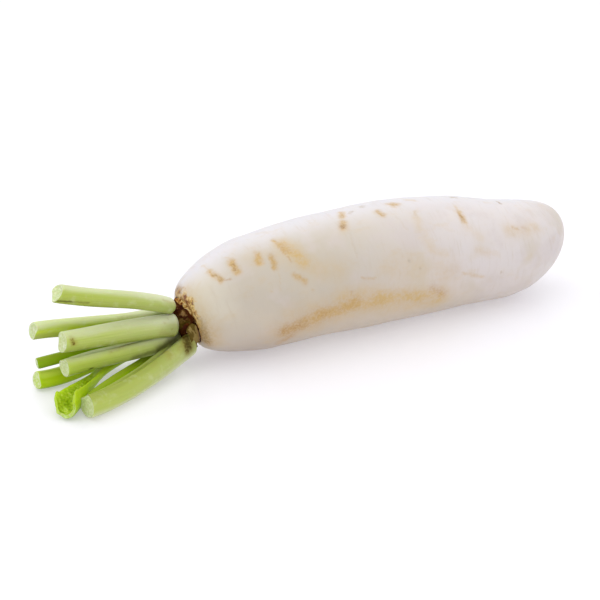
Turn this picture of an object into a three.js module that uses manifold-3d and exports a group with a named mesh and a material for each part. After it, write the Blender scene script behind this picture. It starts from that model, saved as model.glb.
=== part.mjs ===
// A whole daikon radish lying on its side, with the stumps of its leaf stalks.
// Millimetres, +Z up, +X along the root towards its tip. The origin lies on the
// surface that the radish rests on, under the middle of the whole piece.

import * as THREE from 'three';
import { mergeVertices } from 'three/addons/utils/BufferGeometryUtils.js';
import Module from 'manifold-3d';

const wasm = await Module();
wasm.setup();

// ---- driving dimensions ----

// From the point under the crown end of the root to the origin.
const originShift = new THREE.Vector3(-74.7, 2.8, 0);

const rootSize = {
  length: 234, // crown face to blunt tip
  quarterRadii: [28.8, 32.0, 33.5, 30.0, 24.0], // body radius at each quarter of the length
  crownRadius: 13.2, // face that carries the crown
  shoulderLength: 38,
  shoulderPower: 1.6, // the lower, the squarer the shoulder leaves the crown face
  tipLength: 52,
  tipPower: 2.95, // the higher, the blunter the tip
  crownRise: -5.2, // how far the crown end stands above the straight body
  crownSwing: 1.2, // how far it swings to +Y
  tipRise: 16,
  tipSwing: 11.5,
  sideBend: 5, // bow of the middle to +Y
  waveDepth: 0.3, // unevenness of the skin
  slowWave: 17, // lengths over which it swells
  quickWave: 7.5,
  flatDepth: 0.5, // how much of the belly is pressed flat where it lies
};

const crownSize = {
  height: 10, // how far the squashed stem stands out of the root
  radius: 12.6,
  squareness: 0.8, // below 1 the dome has a fuller shoulder
  scarDepth: 1.0, // relief of the old leaf scars
  scarFloor: 0.35, // how far the hollows between the scars lie below the dome
  scarsPerTurn: 7,
  scarTiers: 3,
};

const stalkSize = {
  lip: 3.5, // length of the rounded foot of a stalk
  footLength: 11, // stretch over which the broad foot narrows
  channel: 0.42, // depth of the channel on the inner side, as a share of the half depth
  innerReach: 0.84, // share of the quarter turn, to each side, that the inner side takes
};

const troughSize = {
  openFrom: 0.5, // share of the length where the channel starts to open into a trough
  openTo: 0.78,
  endHalf: [7.5, 8.4], // half width and half depth at the torn end
  wall: 2.2,
  rimRise: 3.2, // how far the rims of the trough stand up
  tearFrom: 0.7,
  tongue: 1.2, // how far the bottom of a slanted torn end may reach past it
  endTear: 0.8, // raggedness of the torn end
  rimTear: 0.8, // and of the rims near it
  // Two ripples make the tear: their height, turn per corner and turn along the stalk.
  ripples: [{ high: 1, round: 2.1, along: 9 }, { high: 0.5, round: 5.3, along: 31 }],
};

const gap = 0.3; // clearance between pieces that touch

// How finely each surface is divided.
const meshing = {
  rootRings: 52,
  rootSides: 48,
  crownRings: 14,
  crownSides: 56,
  lipRings: 3,
  stalkRings: 13,
  outerSides: 12,
  channelSides: 9,
};

// Four points on the middle line of each stalk, from its foot on the crown to its
// cut end, measured from the point under the crown end of the root, half its width
// and half its depth, the share of them that it loses towards its end, and where a
// slanted cut or the hollow of an opening stalk faces. Where stalks crowd, a later
// one gives way to those before it.
const stalkPlan = [
  { name: 'leaf_stalk_8', foot: 1.3, half: [6.7, 7.2], taper: 0.04,
    line: [[-2.2, -5.7, 14.3], [-18.6, -13.8, 10.7], [-43, -27, 8], [-71, -38.2, 7.6]] },
  { name: 'leaf_stalk_3', foot: 1.0, half: [6.2, 5.7], taper: 0.13, cutFaces: [-0.95, -0.22, 0.21],
    line: [[-8.6, -6.6, 25], [-28, -6, 26.5], [-49.5, -8, 28.2], [-72.8, -10, 29.9]] },
  { name: 'leaf_stalk_1', foot: 1.0, half: [5.0, 4.2], taper: 0, cutFaces: [-0.69, -0.13, 0.71],
    line: [[-10, -2.6, 33.6], [-27, -5, 41.3], [-50, -5.3, 47.8], [-72.5, -5, 54.5]] },
  { name: 'leaf_stalk_5', foot: 1.0, half: [6.1, 5.8], taper: 0.04, cutFaces: [-0.99, -0.13, 0.02],
    line: [[-6, -2, 17.7], [-25, -3.4, 15.5], [-48, -6.6, 16.1], [-72, -9, 15.8]] },
  { name: 'leaf_stalk_2', foot: 1.1, half: [4.8, 4.3], taper: 0, cutFaces: [-0.96, -0.24, 0.15],
    line: [[-8, 8.5, 27], [-30.5, 6.5, 26], [-55, 5.2, 29], [-82.5, 5, 31.7]] },
  { name: 'leaf_stalk_6', foot: 1.1, half: [4.6, 4.1], taper: 0, cutFaces: [-0.94, -0.25, 0.22],
    line: [[-6, 11, 17.5], [-30, 12, 11], [-57, 5.5, 6.2], [-83, 2.5, 5.4]] },
  { name: 'leaf_stalk_9', foot: 1.1, half: [2.6, 2.4], taper: 0.1,
    line: [[-5, 2, 12.5], [-22, -1, 6.9], [-43, -13.2, 6.4], [-66, -28.2, 6]] },
  { name: 'leaf_stalk_7', foot: 1.1, half: [3.3, 3.0], taper: 0, opensTo: [-0.22, 0.2, 0.9],
    cutFaces: [-0.84, -0.24, 0.49],
    line: [[-5, 7.5, 12], [-32, 6.5, 7.5], [-56.6, -9.2, 7.2], [-80.7, -33.8, 9.3]] },
  { name: 'leaf_stalk_4', foot: 1.1, half: [2.8, 2.5], taper: 0,
    line: [[-8, 5, 22], [-31.5, 4.2, 17.3], [-57, 3.3, 15.6], [-82.5, 2.5, 14.7]] },
];

const finishes = {
  root: { color: 0xe9e4de, roughness: 0.45 },
  crown: { color: 0x4a2f18, roughness: 0.85 },
  paleStalk: { color: 0xa9bd68, roughness: 0.42 },
  brightStalk: { color: 0x7f9f2e, roughness: 0.42 },
  darkStalk: { color: 0x5d7a1c, roughness: 0.45 },
};

// ---- small helpers ----

const { PI, cos, sin, sqrt, max, min, abs, exp } = Math;
const clamp01 = (value) => min(max(value, 0), 1);
const mix = (from, to, share) => from + (to - from) * share;

function smoothStep(from, to, value) {
  const share = clamp01((value - from) / (to - from));
  return share * share * (3 - 2 * share);
}

// The quartic through values spaced evenly from 0 to 1.
function throughQuarters(values, share) {
  const last = values.length - 1;
  return values.reduce((sum, value, k) => {
    let weight = value;
    for (let m = 0; m <= last; m += 1) {
      if (m !== k) weight *= (share * last - m) / (k - m);
    }
    return sum + weight;
  }, 0);
}

// Closed skin over rings of equal count. A fan to a middle point closes the start.
// The end has a fan too, or the given triangles over the corners of the last ring.
function skinOver(rings, firstMiddle, lastMiddle, lastFaces = null) {
  const sides = rings[0].length;
  const points = [...rings.flat(), firstMiddle];
  const first = points.length - 1;
  const lastRing = (rings.length - 1) * sides;
  const faces = (lastFaces ?? []).flat().map((corner) => lastRing + corner);
  if (!lastFaces) points.push(lastMiddle);
  for (let side = 0; side < sides; side += 1) {
    const next = (side + 1) % sides;
    faces.push(first, next, side);
    if (!lastFaces) faces.push(first + 1, lastRing + side, lastRing + next);
    for (let ring = 0; ring < rings.length - 1; ring += 1) {
      const a = ring * sides + side;
      const b = ring * sides + next;
      faces.push(a, b, b + sides, a, b + sides, a + sides);
    }
  }
  const geometry = new THREE.BufferGeometry().setFromPoints(points);
  geometry.setIndex(signedVolume(points, faces) > 0 ? faces : faces.reverse());
  return geometry;
}

// Triangles over a flat outline, turning the same way as the outline does.
function trianglesOver(outline) {
  const { area, triangulateShape } = THREE.ShapeUtils;
  const triangles = triangulateShape(outline, []);
  const turn = (corners) => Math.sign(area(corners.map((corner) => outline[corner])));
  const outlineTurn = Math.sign(area(outline));
  return triangles.map((corners) => (turn(corners) === outlineTurn ? corners : corners.toReversed()));
}

function signedVolume(points, faces) {
  let volume = 0;
  for (let k = 0; k < faces.length; k += 3) {
    const [a, b, c] = [points[faces[k]], points[faces[k + 1]], points[faces[k + 2]]];
    volume += a.dot(new THREE.Vector3().crossVectors(b, c));
  }
  return volume;
}

function toSolid(geometry) {
  const merged = mergeVertices(geometry.clone());
  return new wasm.Manifold(new wasm.Mesh({
    numProp: 3,
    vertProperties: new Float32Array(merged.attributes.position.array),
    triVerts: new Uint32Array(merged.index.array),
  }));
}

// The largest piece of a cut solid: loose scraps are dropped.
function toGeometry(solid) {
  const pieces = solid.decompose();
  const largest = pieces.reduce((best, piece) => (piece.volume() > best.volume() ? piece : best));
  const mesh = largest.getMesh();
  const geometry = new THREE.BufferGeometry();
  geometry.setAttribute('position', new THREE.BufferAttribute(mesh.vertProperties, 3));
  geometry.setIndex(new THREE.BufferAttribute(mesh.triVerts, 1));
  return geometry;
}

// ---- the root ----

// Middle line of the root at a distance from its crown face, and its radius there.
function rootStation(distance) {
  const s = rootSize;
  const towardsCrown = clamp01(1 - distance / s.shoulderLength);
  const towardsTip = clamp01((distance - s.length + s.tipLength) / s.tipLength);
  const body = throughQuarters(s.quarterRadii, distance / s.length);
  const shoulder = sqrt(1 - towardsCrown ** s.shoulderPower);
  const tip = sqrt(1 - towardsTip ** s.tipPower);
  const share = distance / s.length;
  const swing = s.crownSwing * towardsCrown ** 2 + s.tipSwing * towardsTip ** 2
    + s.sideBend * 4 * share * (1 - share);
  const rise = s.crownRise * towardsCrown ** 2 + s.tipRise * towardsTip ** 2;
  return {
    middle: new THREE.Vector3(distance, swing, body - s.flatDepth + rise),
    radius: (s.crownRadius + (body - s.crownRadius) * shoulder) * tip,
  };
}

// Axes of the root's cross-section there: along, to the near side, and up.
function rootAxes(distance) {
  const step = 0.5;
  const before = rootStation(max(distance - step, 0)).middle;
  const after = rootStation(min(distance + step, rootSize.length)).middle;
  const along = after.sub(before).normalize();
  const near = new THREE.Vector3().crossVectors(along, new THREE.Vector3(0, 0, 1)).normalize();
  return { along, near, up: new THREE.Vector3().crossVectors(near, along) };
}

// Slow swellings that run round and along the root, still at the crown face.
function skinWave(distance, angle) {
  const s = rootSize;
  const fade = clamp01(distance / s.shoulderLength);
  const slow = sin(distance / s.slowWave + 2 * cos(angle));
  const quick = 0.6 * sin(distance / s.quickWave - 1.5 * sin(angle));
  return s.waveDepth * fade * (slow + quick);
}

function rootGeometry() {
  const { rootRings, rootSides } = meshing;
  const rings = [];
  for (let ring = 0; ring < rootRings; ring += 1) {
    // Rings crowd towards both ends; the last point is the tip itself.
    const distance = rootSize.length * (1 - cos((PI * ring) / rootRings)) / 2;
    const { middle, radius } = rootStation(distance);
    const { near, up } = rootAxes(distance);
    rings.push(Array.from({ length: rootSides }, (_, side) => {
      const angle = (2 * PI * side) / rootSides;
      const reach = radius + skinWave(distance, angle) * min(1, radius / rootSize.crownRadius);
      const point = middle.clone()
        .addScaledVector(near, reach * cos(angle))
        .addScaledVector(up, reach * sin(angle));
      point.z = max(point.z, 0);
      return point;
    }));
  }
  return skinOver(rings, rootStation(0).middle, rootStation(rootSize.length).middle);
}

// ---- the crown ----

// A low dome on the crown face, roughened by tiers of old leaf scars.
function crownGeometry(clearance = 0) {
  const s = crownSize;
  const base = rootStation(0).middle;
  const { along, near, up } = rootAxes(0);
  const rings = [];
  for (let ring = 0; ring < meshing.crownRings; ring += 1) {
    const lift = ring / meshing.crownRings;
    const height = (s.height + clearance) * sin(lift * PI / 2) ** s.squareness;
    rings.push(Array.from({ length: meshing.crownSides }, (_, side) => {
      const angle = (2 * PI * side) / meshing.crownSides;
      const tier = lift * s.scarTiers;
      const stagger = PI * Math.floor(tier);
      const scar = max(0, cos(s.scarsPerTurn * angle + stagger)) * sin(PI * (tier % 1)) - s.scarFloor;
      const reach = (s.radius + s.scarDepth * scar) * cos(lift * PI / 2) ** s.squareness + clearance;
      return base.clone()
        .addScaledVector(along, -max(height, gap))
        .addScaledVector(near, reach * cos(angle))
        .addScaledVector(up, reach * sin(angle));
    }));
  }
  const foot = base.clone().addScaledVector(along, -gap);
  const top = base.clone().addScaledVector(along, -s.height - clearance);
  return skinOver(rings, foot, top);
}

// ---- the leaf stalks ----

// The cubic that passes its four points at even thirds.
function lineThrough(points) {
  const [start, low, high, end] = points.map((point) => new THREE.Vector3(...point));
  const pull = (a, b, c, d) => start.clone().multiplyScalar(a)
    .addScaledVector(low, b).addScaledVector(high, c).addScaledVector(end, d).divideScalar(6);
  return new THREE.CubicBezierCurve3(start, pull(-5, 18, -9, 2), pull(2, -9, 18, -5), end);
}

// Half width and half depth at a share of the stalk's length.
function stalkHalf(plan, share, distance) {
  const foot = 1 + (plan.foot - 1) * exp(-((distance / stalkSize.footLength) ** 2));
  const lip = sqrt(1 - (1 - clamp01(distance / stalkSize.lip)) ** 2);
  let [width, depth] = plan.half;
  if (plan.opensTo) {
    const opening = smoothStep(troughSize.openFrom, 1, share);
    width = mix(width, troughSize.endHalf[0], opening);
    depth = mix(depth, troughSize.endHalf[1], opening);
  }
  const taper = 1 - plan.taper * share;
  return [width * foot * lip * taper, depth * lip * taper];
}

// One cross-section: a half round back, then the inner side from rim to rim, which
// holds a shallow channel or, where the stalk opens, the inside of a trough.
function stalkSection(plan, share, distance, clearance) {
  const { outerSides, channelSides } = meshing;
  const { openFrom, openTo, wall, rimRise } = troughSize;
  const [width, depth] = stalkHalf(plan, share, distance);
  const open = plan.opensTo ? smoothStep(openFrom, openTo, share) : 0;
  const back = Array.from({ length: outerSides + 1 }, (_, k) => {
    const angle = PI / 2 + (PI * k) / outerSides;
    return [(width + clearance) * sin(angle), (depth + clearance) * cos(angle)];
  });
  const inner = Array.from({ length: channelSides }, (_, k) => {
    const reach = (PI / 2) * stalkSize.innerReach;
    const angle = mix(-reach, reach, k / (channelSides - 1));
    const solidDepth = depth * (cos(angle) - stalkSize.channel * cos(angle) ** 4) + clearance;
    const troughDepth = -(depth - wall) * cos(angle) - clearance;
    const troughWidth = (width - wall) * sin(angle) / sin(reach);
    return [mix((width + clearance) * sin(angle), troughWidth, open), mix(solidDepth, troughDepth, open)];
  });
  return [...back, ...inner].map(([side, lift]) => {
    const rise = open * rimRise * abs(side / width) ** 3;
    return [side, lift + rise * smoothStep(openFrom, 1, share)];
  });
}

// How far a point of the cut end lies along the stalk where the cut is slanted.
function cutLift(plan, along, across, inner, side, lift) {
  if (!plan.cutFaces) return 0;
  const faces = new THREE.Vector3(...plan.cutFaces);
  return -(side * across.dot(faces) + lift * inner.dot(faces)) / along.dot(faces);
}

function stalkGeometry(plan, crownMiddle, clearance = 0) {
  const curve = lineThrough(plan.line);
  const length = curve.getLength();
  const lipShare = stalkSize.lip / length;
  const { lipRings, stalkRings } = meshing;
  const lipTurn = (k) => (PI / 2) * ((k + 1) / (lipRings + 1));
  const shares = [
    ...Array.from({ length: lipRings }, (_, k) => lipShare * (1 - cos(lipTurn(k)))),
    ...Array.from({ length: stalkRings }, (_, k) => mix(lipShare, 1, k / (stalkRings - 1))),
  ];
  const inward = plan.opensTo
    ? new THREE.Vector3(...plan.opensTo)
    : crownMiddle.clone().sub(curve.getPointAt(lipShare));
  const rings = shares.map((share) => {
    const middle = curve.getPointAt(share);
    const along = curve.getTangentAt(share);
    const inner = inward.clone().addScaledVector(along, -inward.dot(along)).normalize();
    const across = new THREE.Vector3().crossVectors(along, inner);
    const tear = plan.opensTo ? smoothStep(troughSize.tearFrom, 1, share) : 0;
    return stalkSection(plan, share, share * length, clearance).map(([side, lift], k) => {
      const ragged = tear * troughSize.ripples.reduce(
        (sum, ripple) => sum + ripple.high * sin(ripple.round * k + ripple.along * share),
        0,
      );
      const lean = cutLift(plan, along, across, inner, side, lift);
      const slant = plan.opensTo ? min(lean, troughSize.tongue) : lean;
      const endLift = clearance + troughSize.endTear * ragged + slant;
      const rimLift = troughSize.rimTear * ragged * smoothStep(0, troughSize.rimRise, lift);
      return middle.clone()
        .addScaledVector(along, share === 1 ? endLift : 0)
        .addScaledVector(across, side)
        .addScaledVector(inner, lift + rimLift);
    });
  });
  const foot = curve.getPointAt(0).addScaledVector(curve.getTangentAt(0), -clearance);
  const endOutline = stalkSection(plan, 1, length, clearance).map((corner) => new THREE.Vector2(...corner));
  return skinOver(rings, foot, null, trianglesOver(endOutline));
}

// ---- putting the radish together ----

const radish = new THREE.Group();
radish.position.copy(originShift);

function addPiece(name, geometry, finish) {
  geometry.computeVertexNormals();
  const material = new THREE.MeshStandardMaterial({ ...finish, metalness: 0 });
  const mesh = new THREE.Mesh(geometry, material);
  mesh.name = name;
  radish.add(mesh);
}

addPiece('taproot', rootGeometry(), finishes.root);
addPiece('crown', crownGeometry(), finishes.crown);

const crownMiddle = rootStation(0).middle;
let taken = toSolid(crownGeometry(gap));
const stalkFinish = {
  leaf_stalk_4: finishes.darkStalk,
  leaf_stalk_6: finishes.brightStalk,
  leaf_stalk_7: finishes.brightStalk,
  leaf_stalk_9: finishes.darkStalk,
};
for (const plan of stalkPlan) {
  const whole = toSolid(stalkGeometry(plan, crownMiddle));
  addPiece(plan.name, toGeometry(whole.subtract(taken)), stalkFinish[plan.name] ?? finishes.paleStalk);
  taken = taken.add(toSolid(stalkGeometry(plan, crownMiddle, gap)));
}

export default radish;
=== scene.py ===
import math

import bpy
import numpy as np
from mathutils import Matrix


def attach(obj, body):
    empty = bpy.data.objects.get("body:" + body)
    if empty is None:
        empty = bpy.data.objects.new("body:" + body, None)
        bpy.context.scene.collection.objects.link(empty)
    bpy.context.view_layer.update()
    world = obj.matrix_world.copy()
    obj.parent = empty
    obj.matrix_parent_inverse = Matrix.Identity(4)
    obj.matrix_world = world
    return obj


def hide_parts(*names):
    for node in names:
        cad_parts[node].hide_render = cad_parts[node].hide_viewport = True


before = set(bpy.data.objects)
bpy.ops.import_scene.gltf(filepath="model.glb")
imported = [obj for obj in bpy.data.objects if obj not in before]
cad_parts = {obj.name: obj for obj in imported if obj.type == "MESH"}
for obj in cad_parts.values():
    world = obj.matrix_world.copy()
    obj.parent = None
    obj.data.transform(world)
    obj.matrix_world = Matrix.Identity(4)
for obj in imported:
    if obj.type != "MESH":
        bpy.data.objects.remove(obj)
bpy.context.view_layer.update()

# A whole daikon radish lying on a white table: one smooth root, a corky crown and
# nine cut leaf stalks. Shapes are worked out in millimetres and put into the
# meshes in metres. originShift goes from the point under the crown end of the
# root to the origin of the frame.
millimetre = 0.001
originShift = np.array([-74.7, 2.8, 0.0])


# camera, at the height and side from which the radish is seen

cameraSetup = {
    "place": (-0.3720, -0.7314, 0.3864), "turn": (66.0, 0.0, -26.25), "lens": 99.75,
    "sensor": 36.0,
}


def newObject(name, data):
    thing = bpy.data.objects.new(name, data)
    bpy.context.collection.objects.link(thing)
    return thing


def makeCamera():
    data = bpy.data.cameras.new("studioCamera")
    data.lens = cameraSetup["lens"]
    data.sensor_width = cameraSetup["sensor"]
    data.clip_end = 50
    camera = newObject("studioCamera", data)
    camera.location = cameraSetup["place"]
    camera.rotation_euler = [math.radians(angle) for angle in cameraSetup["turn"]]
    bpy.context.scene.camera = camera


makeCamera()
print("camera placed")

# small helpers for numbers

def mixed(low, high, share):
    return low + (high - low) * share


def smoothStep(low, high, value):
    share = np.clip((value - low) / (high - low), 0, 1)
    return share * share * (3 - 2 * share)


# a bell curve: 1 in the middle, and close to 0 at twice the width
def bell(value, width=1.0):
    return np.exp(-((value / width) ** 2))


def unit(vectors):
    return vectors / np.linalg.norm(vectors, axis=-1, keepdims=True)


# degrees brought between -180 and 180
def turned(degrees):
    return (degrees + 180) % 360 - 180


# value noise: random numbers on a cubic lattice of the given spacing, blended
# smoothly between its corners, from about -1 to 1
latticeCells = 32


def softNoise(places, spacing, seed):
    table = np.random.default_rng(seed).uniform(-1, 1, (latticeCells,) * 3)
    scaled = places / spacing
    low = np.floor(scaled).astype(int)
    share = smoothStep(0, 1, scaled - low)
    total = 0
    for corner in range(8):
        step = np.array([corner & 1, corner >> 1 & 1, corner >> 2 & 1])
        weight = np.prod(np.where(step, share, 1 - share), axis=-1)
        cell = (low + step) % latticeCells
        total = total + weight * table[cell[..., 0], cell[..., 1], cell[..., 2]]
    return total


# several sizes of that noise, each half as large and half as strong as the last
def roughNoise(places, spacing, seed, layers=3):
    return sum(softNoise(places, spacing / 2**k, seed + k) / 2**k for k in range(layers))


# Distance from places on a skin to the stroke of a mark, in shares of its half
# width. A place is a distance along the piece and an angle round it in degrees,
# which girth turns into millimetres. The stroke takes the shorter way round.
def strokeAway(mark, along, degrees, girth, wander):
    startAlong, startDegrees, endAlong, endDegrees, half = mark[:5]
    turn = turned(endDegrees - startDegrees)
    runAlong, runAround = endAlong - startAlong, girth * math.radians(turn)
    x = along - startAlong
    y = girth * np.radians(turned(degrees - startDegrees - turn / 2)) + wander + runAround / 2
    share = np.clip((x * runAlong + y * runAround) / max(runAlong**2 + runAround**2, 1e-9), 0, 1)
    return np.hypot(x - share * runAlong, y - share * runAround) / half


# small helpers for meshes

# angles round each of several rings
def ringAngles(rings, sides):
    return np.ones((rings, 1)) * np.arange(sides) * 2 * np.pi / sides


# directions out from an axis, at angles that start at near and go over up
def outwardAt(near, up, angle):
    return near * np.cos(angle)[..., None] + up * np.sin(angle)[..., None]


# four-cornered faces between the rows of an index grid, joined round in columns
def gridFaces(index, closed=True):
    beside = np.roll(index, -1, axis=1) if closed else index[:, 1:]
    base = index if closed else index[:, :-1]
    quads = np.stack([base[:-1], beside[:-1], beside[1:], base[1:]], axis=-1)
    return quads.reshape(-1, 4)


# three-cornered faces from a ring to one point
def fanFaces(ring, point, flip=False):
    beside = np.roll(ring, -1)
    first, second = (beside, ring) if flip else (ring, beside)
    return np.stack([np.full_like(ring, point), first, second], axis=-1)


# a grid of rings closed by a point at each end: points, quads and triangles
def closedTube(rings, ends):
    count = rings.shape[0] * rings.shape[1]
    index = np.arange(count).reshape(rings.shape[:2])
    fans = [fanFaces(index[0], count, True), fanFaces(index[-1], count + 1)]
    return np.concatenate([rings.reshape(-1, 3), ends]), gridFaces(index), np.concatenate(fans)


# values on the rings of a closed tube, and then those at its two end points
def withEnds(values, first=0, last=0):
    return np.concatenate([values.ravel(), [first, last]])


# six times the volume that the faces close in, above zero if they point out
def turnedVolume(points, quads, triangles):
    halves = [quads[:, [0, 1, 2]], quads[:, [0, 2, 3]], triangles]
    corners = points[np.concatenate(halves)]
    return np.einsum("ij,ij->", corners[:, 0], np.cross(corners[:, 1], corners[:, 2]))


def addPiece(name, shape, fields, node, material):
    points, quads, triangles = shape
    if turnedVolume(points, quads, triangles) < 0:
        quads, triangles = quads[:, ::-1], triangles[:, ::-1]
    corners = np.concatenate([quads.ravel(), triangles.ravel()])
    starts = [np.arange(len(quads)) * 4, len(quads) * 4 + np.arange(len(triangles)) * 3]
    starts = np.concatenate(starts)
    mesh = bpy.data.meshes.new(name)
    mesh.vertices.add(len(points))
    mesh.vertices.foreach_set("co", (points * millimetre).astype(np.float32).ravel())
    mesh.loops.add(len(corners))
    mesh.loops.foreach_set("vertex_index", corners.astype(np.int32))
    mesh.polygons.add(len(starts))
    mesh.polygons.foreach_set("loop_start", starts.astype(np.int32))
    mesh.polygons.foreach_set("use_smooth", np.ones(len(starts), dtype=bool))
    for fieldName, values in fields.items():
        vector = values.ndim == 2
        field = mesh.attributes.new(fieldName, "FLOAT_VECTOR" if vector else "FLOAT", "POINT")
        field.data.foreach_set("vector" if vector else "value", values.astype(np.float32).ravel())
    mesh.update(calc_edges=True)
    mesh.validate()
    mesh.materials.append(material)
    piece = newObject(name, mesh)
    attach(piece, "root")
    if node:
        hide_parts(node)
    print(name, len(quads) * 2 + len(triangles), "triangles")


# small helpers for materials

# screen colour, 0 to 255, to the linear values that shaders use
def paint(red, green, blue):
    share = np.array([red, green, blue]) / 255
    linear = np.where(share <= 0.04045, share / 12.92, ((share + 0.055) / 1.055) ** 2.4)
    return (*(float(value) for value in linear), 1.0)


def painted(table):
    return {name: paint(*values) for name, values in table.items()}


# put into a node's inputs what is given: sockets are linked and values are set
def setInputs(node, inputs):
    for key, value in inputs.items():
        if isinstance(value, bpy.types.NodeSocket):
            node.id_data.links.new(value, node.inputs[key])
        else:
            node.inputs[key].default_value = value


def addNode(tree, kind, inputs, **settings):
    node = tree.nodes.new(kind)
    for key, value in settings.items():
        setattr(node, key, value)
    setInputs(node, inputs)
    return node


# a node in the tree that the sockets among its inputs are in
def joinNode(kind, inputs, **settings):
    sockets = (value for value in inputs.values() if isinstance(value, bpy.types.NodeSocket))
    return addNode(next(sockets).id_data, kind, inputs, **settings)


def readField(tree, name, vector=False):
    node = addNode(tree, "ShaderNodeAttribute", {}, attribute_name=name)
    return node.outputs["Vector" if vector else "Fac"]


def objectPlace(tree):
    return addNode(tree, "ShaderNodeTexCoord", {}).outputs["Object"]


def blended(share, first, second):
    return joinNode("ShaderNodeMix", {0: share, 6: first, 7: second}, data_type="RGBA").outputs[2]


# colours laid one after another over the base, each as strong as its mask
def layered(base, *layers):
    for mask, layer in layers:
        base = blended(mask, base, layer)
    return base


def worked(operation, *values, clamped=False):
    inputs = dict(enumerate(values))
    return joinNode("ShaderNodeMath", inputs, operation=operation, use_clamp=clamped).outputs[0]


def times(first, second, clamped=False):
    return worked("MULTIPLY", first, second, clamped=clamped)


def plus(first, second, clamped=False):
    return worked("ADD", first, second, clamped=clamped)


# a value raised and lowered by how far another one is from its middle
def nudged(value, other, amount=1.0, middle=0.5):
    return plus(value, times(worked("SUBTRACT", other, middle), amount))


# a value carried from one range to another, with soft ends
def eased(value, low, high, start=0.0, end=1.0):
    inputs = {"Value": value, "From Min": low, "From Max": high, "To Min": start, "To Max": end}
    return joinNode("ShaderNodeMapRange", inputs, interpolation_type="SMOOTHSTEP").outputs["Result"]


def noised(place, scale, detail, roughness=0.5):
    inputs = {"Vector": place, "Scale": scale, "Detail": detail, "Roughness": roughness}
    return joinNode("ShaderNodeTexNoise", inputs).outputs["Fac"]


# noise of about the given size in millimetres, stretched along each axis
def grain(place, size, detail=3.0, roughness=0.55, stretch=(1, 1, 1)):
    scale = tuple(1 / share for share in stretch)
    moved = joinNode("ShaderNodeMapping", {"Vector": place, "Scale": scale}).outputs[0]
    return noised(moved, 1 / (size * millimetre), detail, roughness)


def bumped(height, strength, distance):
    inputs = {"Height": height, "Strength": strength, "Distance": distance}
    return joinNode("ShaderNodeBump", inputs).outputs[0]


# a new group with named inputs and outputs of the given kinds: the tree, what its
# start gives out, and its end
def newGroup(name, inputs, outputs):
    tree = bpy.data.node_groups.new(name, "ShaderNodeTree")
    for direction, sockets in (("INPUT", inputs), ("OUTPUT", outputs)):
        for socketName, kind in sockets.items():
            tree.interface.new_socket(socketName, in_out=direction, socket_type="NodeSocket" + kind)
    given = tree.nodes.new("NodeGroupInput").outputs
    return tree, given, tree.nodes.new("NodeGroupOutput")


def groupNode(tree, group, inputs):
    return addNode(tree, "ShaderNodeGroup", inputs, node_tree=group)


def newMaterial(name):
    material = bpy.data.materials.new(name)
    material.use_nodes = True
    tree = material.node_tree
    tree.nodes.clear()
    output = tree.nodes.new("ShaderNodeOutputMaterial")
    shader = tree.nodes.new("ShaderNodeBsdfPrincipled")
    tree.links.new(shader.outputs[0], output.inputs[0])
    return material, tree, shader


# Patches with frayed edges: a field from 0 to 1 is raised and lowered by noise, so
# that its edge runs ragged, and what stays above the middle is the patch.
def makeFrayGroup():
    inputs = {"Place": "Vector", "Field": "Float", "Size": "Float", "Fray": "Float"}
    tree, given, end = newGroup("frayedPatch", inputs, {"Mask": "Float"})
    noise = noised(given["Place"], worked("DIVIDE", 1 / millimetre, given["Size"]), 4.0, 0.65)
    mask = eased(nudged(given["Field"], noise, given["Fray"]), 0.2, 0.8)
    present = eased(given["Field"], 0.01, 0.12)
    setInputs(end, {"Mask": times(mask, present)})
    return tree


# Fine relief of living skin: soft cells and short scratches run along the grain.
def makeSkinReliefGroup():
    inputs = {"Place": "Vector", "Cell": "Float", "Length": "Float"}
    tree, given, end = newGroup("skinRelief", inputs, {"Height": "Float"})
    scales = joinNode("ShaderNodeCombineXYZ", {0: 1.0, 1: 1.0, 2: given["Length"]}).outputs[0]
    ends = {0: given["Place"], 1: scales}
    stretched = joinNode("ShaderNodeVectorMath", ends, operation="MULTIPLY").outputs[0]
    scale = worked("DIVIDE", 1 / millimetre, given["Cell"])
    fine = noised(stretched, scale, 3.0, 0.6)
    broad = noised(given["Place"], times(scale, 0.15), 2.0)
    setInputs(end, {"Height": plus(times(fine, 0.45), times(broad, 0.55))})
    return tree


# The rusty stain that the crown leaves: ochre skin with browner clouds, umber
# flecks and light ones, and a soft uneven edge.
def makeAmberGroup():
    inputs, outputs = {"Place": "Vector", "Amber": "Float"}, {"Colour": "Color", "Mask": "Float"}
    tree, given, end = newGroup("amberStain", inputs, outputs)
    amber = given["Amber"]
    clouds = grain(given["Place"], 3.2, 3.0)
    flecks = grain(given["Place"], 2.0, 3.0, 0.6)
    stain = layered(
        blended(eased(clouds, 0.36, 0.66), paint(224, 190, 108), paint(190, 134, 58)),
        (eased(flecks, 0.5, 0.32, 0, 0.85), paint(234, 214, 164)),
        (eased(nudged(flecks, amber, 0.22, 0.7), 0.48, 0.64, 0, 0.92), paint(112, 48, 10)),
    )
    mask = times(eased(nudged(amber, clouds, 0.9), 0.1, 0.8, 0, 0.95), eased(amber, 0.0, 0.25))
    setInputs(end, {"Colour": stain, "Mask": mask})
    return tree


frayGroup = makeFrayGroup()
skinReliefGroup = makeSkinReliefGroup()
amberGroup = makeAmberGroup()


def frayed(place, field, size, fray):
    inputs = {"Place": place, "Field": field, "Size": size, "Fray": fray}
    return groupNode(place.id_data, frayGroup, inputs).outputs["Mask"]


def skinRelief(place, cell, length):
    inputs = {"Place": place, "Cell": cell, "Length": length}
    return groupNode(place.id_data, skinReliefGroup, inputs).outputs["Height"]


# mask and colour of the crown's stain, as a layer
def stainLayer(tree, place):
    stain = groupNode(tree, amberGroup, {"Place": place, "Amber": readField(tree, "amber")})
    return stain.outputs["Mask"], stain.outputs["Colour"]


# the root

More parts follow.
